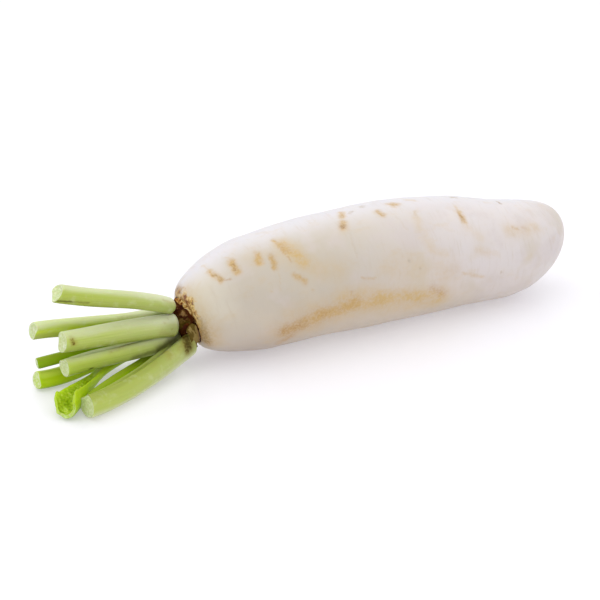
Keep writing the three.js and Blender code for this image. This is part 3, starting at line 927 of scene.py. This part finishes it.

# Four points on the middle line of each stalk at even thirds, from its foot to its
# cut end, its broadening at the foot, half its width and depth, the share of them
# that it loses towards its end, where a slanted cut faces, how vivid its green is,
# how much painted shade darkens it, and how much painted light pales its upper side,
# or its lower side if below 0.
# What a plan doesn't state is as in plainPlan.
plainPlan = {
    "foot": 1.1, "taper": 0, "slantLength": 5.5, "vivid": 0, "paintedLightSide": 1, "paintedLightShift": 0,
    "shade": 0,
}
stalkPlans = {
    "leaf_stalk_8": {
        "foot": 1.3, "half": (6.7, 7.2), "taper": 0.04,
        "line": [[-2.2, -5.7, 14.3], [-18.6, -13.8, 10.7], [-43, -27, 8], [-71, -38.2, 7.6]],
        "finish": "pale", "vivid": 0.1, "paintedLightSide": -1.15, "paintedLightShift": 0.25, "shade": 0.16,
    },
    "leaf_stalk_3": {
        "foot": 1.0, "half": (6.2, 5.7), "taper": 0.13, "cutFaces": (-0.95, -0.22, 0.21),
        "line": [[-8.6, -6.6, 25], [-28, -6, 26.5], [-49.5, -8, 28.2], [-72.8, -10, 29.9]],
        "finish": "pale", "vivid": 0.05,
    },
    "leaf_stalk_1": {
        "foot": 1.0, "half": (5.0, 4.2), "cutFaces": (-0.69, -0.13, 0.71),
        "line": [[-10, -2.6, 33.6], [-27, -5, 41.3], [-50, -5.3, 47.8], [-72.5, -5, 54.5]],
        "finish": "pale", "vivid": 0.3, "shade": 0.28,
    },
    "leaf_stalk_5": {
        "foot": 1.0, "half": (6.1, 5.8), "taper": 0.04, "cutFaces": (-0.99, -0.13, 0.02),
        "line": [[-6, -2, 17.7], [-25, -3.4, 15.5], [-48, -6.6, 16.1], [-72, -9, 15.8]],
        "finish": "pale", "vivid": 0.3, "paintedLightSide": 0.8, "paintedLightShift": 0.2,
    },
    "leaf_stalk_2": {
        "half": (4.8, 4.3), "cutFaces": (-0.96, -0.24, 0.15),
        "line": [[-8, 8.5, 27], [-30.5, 6.5, 26], [-55, 5.2, 29], [-82.5, 5, 31.7]],
        "finish": "pale", "vivid": 1.0, "paintedLightShift": 0.12,
    },
    "leaf_stalk_6": {
        "half": (4.6, 4.1), "cutFaces": (-0.94, -0.25, 0.22),
        "line": [[-6, 11, 17.5], [-30, 12, 11], [-57, 5.5, 6.2], [-83, 2.5, 5.4]],
        "finish": "bright",
    },
    "leaf_stalk_9": {
        "half": (2.6, 2.4), "taper": 0.1,
        "line": [[-5, 2, 12.5], [-22, -1, 6.9], [-43, -13.2, 6.4], [-66, -28.2, 6]],
        "finish": "dark",
    },
    "leaf_stalk_7": {
        "half": (3.3, 3.0), "opensTo": (-0.22, 0.2, 0.9),
        "cutFaces": (-0.84, -0.24, 0.49), "slantLength": 14,
        "line": [[-5, 7.5, 12], [-32, 6.5, 7.5], [-56.6, -9.2, 7.2], [-80.7, -33.8, 9.3]],
        "finish": "bright", "vivid": 0.3,
    },
    "leaf_stalk_4": {
        "half": (2.8, 2.5),
        "line": [[-8, 5, 22], [-31.5, 4.2, 17.3], [-57, 3.3, 15.6], [-82.5, 2.5, 14.7]],
        "finish": "dark",
    },
}


# The cubic through four points at even thirds, as a walk at even speed: gives the
# length and a function from distance to place and direction.
def walkAlong(line):
    t = np.linspace(0, 1, 1501)
    cubics = np.polyfit(np.linspace(0, 1, 4), np.array(line) + originShift, 3)
    path = np.stack([np.polyval(cubic, t) for cubic in cubics.T], axis=-1)
    walked = np.concatenate([[0], np.cumsum(np.linalg.norm(np.diff(path, axis=0), axis=1))])
    slope = unit(np.gradient(path, axis=0))

    def at(distance):
        place, direction = (
            np.stack([np.interp(distance, walked, track[:, k]) for k in range(3)], axis=-1)
            for track in (path, slope)
        )
        return place, unit(direction)

    return walked[-1], at


# Cross-sections: a half round back, and an inner side with a shallow channel. On
# the torn stalk the channel opens into a trough with two walls and round rims.
def stalkSection(plan, share, distance, inset, turn):
    lip = np.sqrt(1 - (1 - np.clip(distance / stalk["lip"], 0, 1)) ** 2)
    foot = 1 + (plan["foot"] - 1) * bell(distance, stalk["footLength"])
    opening = smoothStep(trough["openFrom"], 1, share) if "opensTo" in plan else 0
    width, depth = (mixed(*ends, opening) for ends in zip(plan["half"], trough["endHalf"]))
    taper = 1 - plan["taper"] * share
    width = width * foot * lip * taper - inset
    depth = depth * lip * taper - inset
    sine, cosine = np.sin(turn), np.cos(turn)
    side = width * sine
    lift = depth * (cosine - stalk["channel"] * np.maximum(cosine, 0) ** 4)
    if "opensTo" not in plan:
        return side, lift, np.zeros_like(side)
    opened = smoothStep(trough["openFrom"], trough["openTo"], share)
    reach = np.pi / 2 * stalk["innerReach"]
    around = np.abs(np.arctan2(sine, cosine))
    rim = np.clip((around - reach) / (np.pi / 2 - reach), 0, 1)
    wall = trough["wall"] - inset
    innerTurn = np.minimum(around, reach)
    innerSide = mixed((width - wall) * np.sin(innerTurn) / np.sin(reach), width, rim)
    innerLift = mixed((wall - depth) * np.cos(innerTurn), 0, rim)
    innerLift = innerLift + trough["rimBulge"] * np.sin(np.pi * rim)
    front = cosine > 1e-9
    side = np.where(front, mixed(side, np.sign(sine) * innerSide, opened), side)
    lift = np.where(front, mixed(lift, innerLift, opened), lift)
    rise = trough["rimRise"] * np.abs(side / np.maximum(width, 0.01)) ** 3
    return side, lift + opened * rise * opening, opened


# Marks on the stalks: distance from the foot and angle round from the inner side
# where a stroke starts and where it ends, half its width in mm, and how brown and
# how dark it is. Some dark strokes near the feet are painted shade.
stalkMarks = {
    "leaf_stalk_3": [
        (60.9, -164, 60.2, 178, 1.9, 0.85, 0.0),
        (8.9, -152, 9.2, -150, 0.6, 0.5, 0.0),
        (5.3, 176, 5.5, 172, 0.7, 0.5, 0.0),
        (12.1, 155, 12.4, 152, 0.6, 0.45, 0.0),
        (6.7, -131, 6.9, -128, 0.6, 0.45, 0.0),
        (3.0, 129, 11.0, 165, 2.0, 0.3, 0.0),
        # painted shade under stalk 3's foot, a little brown
        (-1.0, -150, 4.0, -166, 5.5, 0.12, 0.22),
    ],
    "leaf_stalk_5": [
        (55.2, -139, 53.4, -137, 0.7, 0.4, 0.75),
        (43.0, -66, 35.5, -48, 1.3, 0.4, 0.0),
        (35.5, -48, 29.0, -30, 1.5, 0.45, 0.0),
        # painted shadow of the gap between stalks 5 and 8, on stalk 5's underside near its foot
        (0.5, -98, 9.0, -109, 2.5, 0.3, 0.85),
        (9.0, -109, 16.0, -124, 2.3, 0.2, 0.8),
        (16.0, -124, 30.0, -134, 1.8, 0.1, 0.5),
    ],
    "leaf_stalk_1": [
        (66.2, 95, 58.8, 99, 0.55, 0.3, 0.7),
        (58.8, 99, 50.0, 105, 0.5, 0.3, 0.3),
        (3.0, 150, 9.0, 165, 0.9, 0.35, 0.0),
    ],
    "leaf_stalk_8": [
        (5.0, -52, 8.0, -96, 3.6, 1.0, 0.55),
        (8.5, -74, 9.6, -104, 2.4, 0.9, 0.3),
        (11.0, -62, 13.0, -80, 2.2, 0.4, 0.0),
        # painted shadow of the same gap, on stalk 8's upper edge near its foot
        (3.0, 25, 9.5, -6, 2.0, 0.2, 0.85),
        (9.5, -6, 24.0, -26, 1.4, 0.15, 0.6),
        (20.8, -30, 21.0, -68, 2.6, 0.4, 0.0),
        (31.0, -60, 34.0, -62, 1.2, 0.2, 0.0),
    ],
    "leaf_stalk_2": [(20.0, 60, 30.0, 70, 1.2, 0.25, 0.0)],
}


def stalkStains(name, distance, turn, girth, places):
    along = distance + 0.5 * roughNoise(places, 2.0, 15)
    wander = 0.5 * roughNoise(places, 2.0, 29)
    stains = {"brown": np.zeros_like(distance), "dark": np.zeros_like(distance)}
    for mark in stalkMarks.get(name, []):
        core = bell(strokeAway(mark, along, np.degrees(turn), girth, wander))
        for key, strength in zip(stains, mark[5:]):
            stains[key] = np.maximum(stains[key], strength * core)
    return stains


# Distances of a stalk's rings from its foot, and how far their skin is drawn in. The
# rings lie close together at the round foot and at the small round edge of the cut.
def stalkRings(length):
    edge = stalk["edge"]
    lipTurn = np.linspace(0, np.pi / 2, stalk["lipRings"] + 1)[1:]
    edgeTurn = np.linspace(0, np.pi / 2, stalk["edgeRings"] + 1)[1:]
    distance = np.concatenate([
        stalk["lip"] * (1 - np.cos(lipTurn)),
        np.linspace(stalk["lip"], length - edge, stalk["bodyRings"])[1:],
        length - edge + edge * np.sin(edgeTurn),
    ])
    inset = np.zeros_like(distance)
    inset[-len(edgeTurn):] = edge * (1 - np.cos(edgeTurn))
    around = np.ones(2 * stalk["halfSides"])
    return distance[:, None] * around, inset[:, None] * around


# Relief of the skin, fading out at both ends: ribs on the back, soft lumps and fine
# ridges all over, and crumpled walls in a trough.
def stalkRelief(order, straight, flat, turn, opened, length):
    back = smoothStep(0.15, -0.35, np.cos(turn))
    ribs = stalk["ribs"] * turn + 1.2 * softNoise(straight * [1, 1, 0.12] + order * 37, 6.0, 5)
    relief = stalk["ribDepth"] * np.cos(ribs) * (0.35 + 0.65 * back)
    relief = relief + stalk["lumps"] * softNoise(straight * [1, 1, 0.4] + order * 19, 7.0, 9)
    relief = relief + stalk["ridges"] * roughNoise(straight * [1, 1, 0.08] + order * 11, 2.6, 13)
    inTrough = opened * smoothStep(-0.1, 0.4, np.cos(turn))
    relief = relief + trough["crumple"] * inTrough * roughNoise(flat, 3.4, 17)
    distance = straight[..., 2]
    return relief * smoothStep(0, 9, distance) * smoothStep(length, length - 1.5, distance)


# How far the skin at the end goes forward or back to meet the slanted cut.
def slantedEnd(plan, side, lift, distance, length, along, across, inner):
    if "cutFaces" not in plan:
        return np.zeros_like(side)
    faces = np.array(plan["cutFaces"])
    slant = -(side * (across @ faces)[:, None] + lift * (inner @ faces)[:, None])
    slant = slant / (along @ faces)[:, None]
    if "opensTo" in plan:
        slant = np.minimum(slant, trough["tongue"])
    return slant * np.clip((distance - length) / plan["slantLength"] + 1, 0, 1)


# places from the middles and axes of cross-sections
def inSections(sections, side, lift, forward):
    middle, along, across, inner = (vectors[:, None] for vectors in sections)
    ahead = middle + along * forward[..., None]
    return ahead + across * side[..., None] + inner * lift[..., None]


# The rows over a cut end, each from a place on the back to the facing one inside.
cutColumns = np.arange(1, stalk["halfSides"])[None, :]
cutFacing = 2 * stalk["halfSides"] - cutColumns
cutRung = (np.arange(1, stalk["capRows"]) / stalk["capRows"])[:, None]


# Faces of a stalk: its rings, a fan round the foot, and the ladder of the cut's
# rows, which three-cornered faces close at both ends.
def stalkFaces(rings):
    half, rows = stalk["halfSides"], stalk["capRows"]
    index = np.arange(rings * 2 * half).reshape(rings, 2 * half)
    last = index[-1]
    onCut = np.arange((rows - 1) * (half - 1)).reshape(rows - 1, half - 1) + index.size
    ladder = np.concatenate([last[cutColumns], onCut, last[cutFacing]])
    rimStart = np.stack([np.full(rows, last[0]), ladder[:-1, 0], ladder[1:, 0]], axis=-1)
    rimEnd = np.stack([np.full(rows, last[half]), ladder[1:, -1], ladder[:-1, -1]], axis=-1)
    quads = np.concatenate([gridFaces(index), gridFaces(ladder, closed=False)[:, ::-1]])
    footFan = fanFaces(index[0], index.size + onCut.size, True)
    return quads, np.concatenate([footFan, rimStart[:, ::-1], rimEnd[:, ::-1]])


# The stalk: sections stand square to the middle line, with the channel turned to
# the middle of the crown. The face of the cut is a little dished and spongy.
def makeStalk(order, name, plan, material):
    length, at = walkAlong(plan["line"])
    isTorn = "opensTo" in plan
    distance, inset = stalkRings(length)
    share = distance / length
    turn = np.pi / 2 + ringAngles(*distance.shape)
    side, lift, opened = stalkSection(plan, share, distance, inset, turn)
    middle, along = at(distance[:, 0])
    lipMiddle, _ = at(np.array(stalk["lip"]))
    inward = np.array(plan.get("opensTo", crownFace[0] - lipMiddle))
    inner = unit(inward - along * (along @ inward)[:, None])
    across = np.cross(along, inner)
    sections = (middle, along, across, inner)
    flat = inSections(sections, side, lift, 0 * side)
    straight = np.stack([side, lift, distance], axis=-1)
    relief = stalkRelief(order, straight, flat, turn, opened, length)
    size = np.maximum(np.hypot(side, lift), 0.01)
    outSide, outLift = side / size, lift / size
    side, lift = side + relief * outSide, lift + relief * outLift
    forward = slantedEnd(plan, side, lift, distance, length, along, across, inner)
    if isTorn:
        ragged = roughNoise(flat, 3.6, 33, 2) * smoothStep(trough["tearFrom"], 1, share)
        forward = forward + trough["endTear"] * ragged * smoothStep(length - 7, length, distance)
        lift = lift + trough["rimTear"] * ragged * smoothStep(0, trough["rimRise"], lift)
    skin = inSections(sections, side, lift, forward)
    # painted light and shade: how much each place faces up, turned by the plan so that its lit side
    # is high
    paintedLightFacing = across[:, 2:] * outSide + inner[:, 2:] * outLift
    paintedLightFacing = paintedLightFacing * plan["paintedLightSide"] + plan["paintedLightShift"]
    # painted shade at the foot, on its unlit side
    footShade = stalk["footShade"] * bell(distance, 9) * smoothStep(1.0, -0.2, paintedLightFacing)

    # the cut face
    cutSide, cutLift, cutForward = (
        mixed(values[-1][cutColumns], values[-1][cutFacing], cutRung)
        for values in (side, lift, forward)
    )
    tapering = np.sin(np.pi * cutColumns / stalk["halfSides"])
    core = np.sqrt(np.clip(4 * cutRung * (1 - cutRung), 0, 1) * tapering)
    cutPlaces = np.stack([cutSide, cutLift, order * 13 + 0 * cutSide], axis=-1)
    sponge = stalk["sponge"] * roughNoise(cutPlaces, 1.5, 77) * smoothStep(0, 0.4, core)
    cutForward = cutForward - stalk["dish"] * smoothStep(0.2, 0.9, core) + sponge
    last = [vectors[-1:] for vectors in sections]
    cut = inSections(last, cutSide, cutLift, cutForward)
    foot, _ = at(np.array(0.0))
    points = np.concatenate([skin.reshape(-1, 3), cut.reshape(-1, 3), foot[None]])

    # values on the skin, on the cut face and at the point under the foot
    def joined(onSkin, onCut=0, onFoot=0):
        onSkin = np.broadcast_to(onSkin, side.shape).ravel()
        onCut = np.broadcast_to(onCut, cutSide.shape).ravel()
        return np.concatenate([onSkin, onCut, [onFoot]])

    # the flesh of a torn end is as green as the rest, but for its lower lip
    edgeFlesh, cutFlesh = 1, 1
    if isTorn:
        edgeFlesh, cutFlesh = (mixed(0.15, 0.75, smoothStep(-1, -6, up)) for up in (lift, cutLift))
    stains = stalkStains(name, distance, turn, sum(plan["half"]) / 2, flat)
    straight = [joined(side, cutSide), joined(lift, cutLift), joined(distance, length)]
    vivid = plan["vivid"]
    fields = {
        "straight": np.stack(straight, axis=-1) * millimetre,
        "share": joined(share, 1),
        "cut": joined(smoothStep(0.15, 0.5, inset) * edgeFlesh, cutFlesh),
        "core": joined(0, core),
        "trough": joined(opened * smoothStep(-0.1, 0.35, np.cos(turn))),
        "brown": joined(stains["brown"]),
        "dark": joined(stains["dark"]),
        "paintedLightFacing": joined(paintedLightFacing),
        "shade": joined(plan["shade"] + footShade),
        "vivid": joined(vivid + stalk["endVivid"] * smoothStep(0.25, 1, share), vivid, vivid),
    }
    shape = (points, *stalkFaces(len(side)))
    addPiece("stalk" + name[-1], shape, fields, name, material)


# Colour, gloss and relief of a stalk. It is paler at the foot, paler along its lit side
# as painted light and deeper along the other as painted shade, with painted shade round
# the foot's unlit side, more vivid towards its end, soft streaks run along it, and the
# cut face has a light rim, a wet green ring and a spongy core.
def makeStalkGroup():
    paints = ("Green", "Vivid", "Deep", "PaintedShadeUnder", "Shade", "Foot", "Rim", "Core")
    inputs = {**dict.fromkeys(paints, "Color"), "Streak": "Float", "Foot reach": "Float"}
    outputs = {"Colour": "Color", "Gloss": "Float", "Height": "Float"}
    tree, given, end = newGroup("stalkSkin", inputs, outputs)
    place, straight = objectPlace(tree), readField(tree, "straight", vector=True)
    streaks = grain(straight, 1.6, 3.0, 0.55, (1, 1, 16))
    wide = grain(straight, 4.5, 2.0, 0.55, (1, 1, 6))
    paintedLightFacing = nudged(readField(tree, "paintedLightFacing"), wide, 0.6)
    shade = plus(readField(tree, "shade"), eased(paintedLightFacing, -0.4, -1.0, 0, 0.6))
    footShare = nudged(worked("DIVIDE", readField(tree, "share"), given["Foot reach"]), wide)
    # torn flesh inside a trough
    flesh = grain(place, 2.2, 5.0, 0.68)
    inTrough = readField(tree, "trough")
    torn = blended(eased(flesh, 0.36, 0.54), paint(126, 158, 2), paint(178, 204, 32))
    torn = blended(eased(flesh, 0.53, 0.66, 0, 0.85), torn, paint(212, 226, 116))
    brownField = readField(tree, "brown")
    brown = times(brownField, eased(grain(place, 1.3, 3.0), 0.3, 0.7, 0.7, 1.2), clamped=True)
    base = layered(
        blended(readField(tree, "vivid"), given["Green"], given["Vivid"]),
        (times(eased(streaks, 0.35, 0.7), given["Streak"]), given["Deep"]),
        (eased(wide, 0.45, 0.7, 0, 0.3), given["Deep"]),
        # painted shade on the lower side, then over a whole stalk as its plan gives
        (eased(paintedLightFacing, 0.15, -0.75, 0, 0.8), given["PaintedShadeUnder"]),
        (shade, given["Shade"]),
        # the pale foot, strongest on its lit side, then a painted highlight along the top
        (times(eased(footShare, 1.0, 0.0), eased(paintedLightFacing, 0.1, 1.0, 0.1, 0.8)), given["Foot"]),
        (eased(paintedLightFacing, 0.4, 1.0, 0, 0.6), given["Foot"]),
        (eased(grain(place, 6.0, 4.0, 0.6), 0.5, 0.75, 0, 0.25), given["Foot"]),
        (eased(grain(place, 1.2, 2.0), 0.68, 0.78, 0, 0.2), given["Deep"]),
        (times(inTrough, 0.9), torn),
        (times(brown, 0.75), paint(156, 126, 36)),
        (eased(brown, 0.45, 1.0, 0, 0.8), paint(88, 66, 0)),
        (readField(tree, "dark"), paint(46, 44, 0)),
    )
    # the cut face
    core, cut = readField(tree, "core"), readField(tree, "cut")
    sponge = grain(straight, 1.3, 4.0, 0.7)
    ring = times(eased(core, 0.2, 0.36), eased(core, 0.6, 0.4))
    face = layered(
        blended(eased(core, 0.3, 0.62), given["Rim"], given["Core"]),
        (times(ring, 0.2), given["Green"]),
        (eased(sponge, 0.54, 0.42, 0, 0.4), given["Green"]),
        (eased(sponge, 0.5, 0.62, 0, 0.7), given["Rim"]),
    )
    gloss = plus(eased(wide, 0.3, 0.7, 0.32, 0.44), times(brownField, 0.25))
    relief = plus(times(flesh, times(inTrough, 2.0)), times(sponge, times(cut, 1.4)))
    setInputs(end, {
        "Colour": blended(cut, base, face),
        "Gloss": worked("SUBTRACT", gloss, times(cut, 0.06)),
        "Height": plus(skinRelief(straight, 0.6, 0.08), relief),
    })
    return tree


stalkFinishes = {
    "pale": {
        "Green": (192, 202, 128), "Vivid": (202, 220, 72), "Deep": (178, 194, 96),
        "PaintedShadeUnder": (174, 186, 84), "Shade": (136, 148, 56), "Foot": (220, 224, 192),
        "Rim": (230, 236, 202), "Core": (210, 222, 164), "Streak": 0.3, "Foot reach": 0.5,
    },
    "bright": {
        "Green": (190, 216, 26), "Vivid": (186, 216, 12), "Deep": (168, 200, 10),
        "PaintedShadeUnder": (168, 198, 6), "Shade": (120, 152, 4), "Foot": (208, 224, 92),
        "Rim": (230, 240, 200), "Core": (206, 222, 142), "Streak": 0.4, "Foot reach": 0.3,
    },
    "dark": {
        "Green": (150, 182, 8), "Vivid": (144, 184, 2), "Deep": (124, 154, 4),
        "PaintedShadeUnder": (126, 154, 2), "Shade": (94, 118, 4), "Foot": (160, 176, 50),
        "Rim": (236, 240, 216), "Core": (216, 226, 178), "Streak": 0.4, "Foot reach": 0.25,
    },
}
stalkGroup = makeStalkGroup()


def makeStalkMaterial(finish):
    material, tree, shader = newMaterial(finish + "Stalk")
    inputs = stalkFinishes[finish].items()
    inputs = {key: paint(*value) if isinstance(value, tuple) else value for key, value in inputs}
    skin = groupNode(tree, stalkGroup, inputs).outputs
    setInputs(shader, {
        "Base Color": skin["Colour"],
        "Roughness": skin["Gloss"],
        "Specular IOR Level": 0.2,
        "Subsurface Weight": 0.25,
        "Subsurface Radius": (0.6, 1.0, 0.25),
        "Subsurface Scale": 0.003,
        "Normal": bumped(skin["Height"], 0.5, 0.0002),
    })
    return material


stalkMaterials = {finish: makeStalkMaterial(finish) for finish in stalkFinishes}
for order, (name, plan) in enumerate(stalkPlans.items()):
    makeStalk(order, name, {**plainPlan, **plan}, stalkMaterials[plan["finish"]])
print("stalks made")


# the table and the light

studio = {
    "tableSize": 6.0, "table": paint(212, 211, 216), "tableGloss": 0.3, "tableGlow": 0.32,
    "tableTint": (0.97, 0.96, 1.0, 1.0), "low": 0.6, "high": 1.17, "seen": 1.0,
    "lampPlace": (-0.12, 0.35, 0.9), "lampSize": 1.2, "lampPower": 2.2,
}


def makeTable():
    half = studio["tableSize"] / 2
    corners = [(-half, -half, 0), (half, -half, 0), (half, half, 0), (-half, half, 0)]
    mesh = bpy.data.meshes.new("whiteTable")
    mesh.from_pydata(corners, [], [(0, 1, 2, 3)])
    material, _, shader = newMaterial("whiteTable")
    setInputs(shader, {
        "Base Color": studio["table"],
        "Roughness": studio["tableGloss"],
        "Emission Color": studio["tableTint"],
        "Emission Strength": studio["tableGlow"],
    })
    mesh.materials.append(material)
    table = newObject("whiteTable", mesh)


# White light from all round, brighter from above than from the side, and one broad
# weak lamp above, a little behind.
def makeLight():
    world = bpy.data.worlds.new("whiteRoom")
    world.use_nodes = True
    tree = world.node_tree
    toSky = addNode(tree, "ShaderNodeTexCoord", {}).outputs["Generated"]
    height = joinNode("ShaderNodeSeparateXYZ", {"Vector": toSky}).outputs["Z"]
    glow = eased(height, 0.0, 0.9, studio["low"], studio["high"])
    seen = addNode(tree, "ShaderNodeLightPath", {}).outputs["Is Camera Ray"]
    inputs = {"Value": seen, "To Min": glow, "To Max": studio["seen"]}
    strength = joinNode("ShaderNodeMapRange", inputs).outputs["Result"]
    setInputs(tree.nodes["Background"], {"Color": (1, 1, 1, 1), "Strength": strength})
    bpy.context.scene.world = world
    data = bpy.data.lights.new("broadLamp", "AREA")
    data.shape = "SQUARE"
    data.size = studio["lampSize"]
    data.energy = studio["lampPower"]
    lamp = newObject("broadLamp", data)
    lamp.location = studio["lampPlace"]
    away = -np.array(studio["lampPlace"])
    azimuth = math.atan2(-away[0], away[1])
    lamp.rotation_euler = (math.acos(-away[2] / np.linalg.norm(away)), 0, azimuth)
    bpy.context.scene.view_settings.view_transform = "Standard"


makeTable()
makeLight()
print("table and light made")
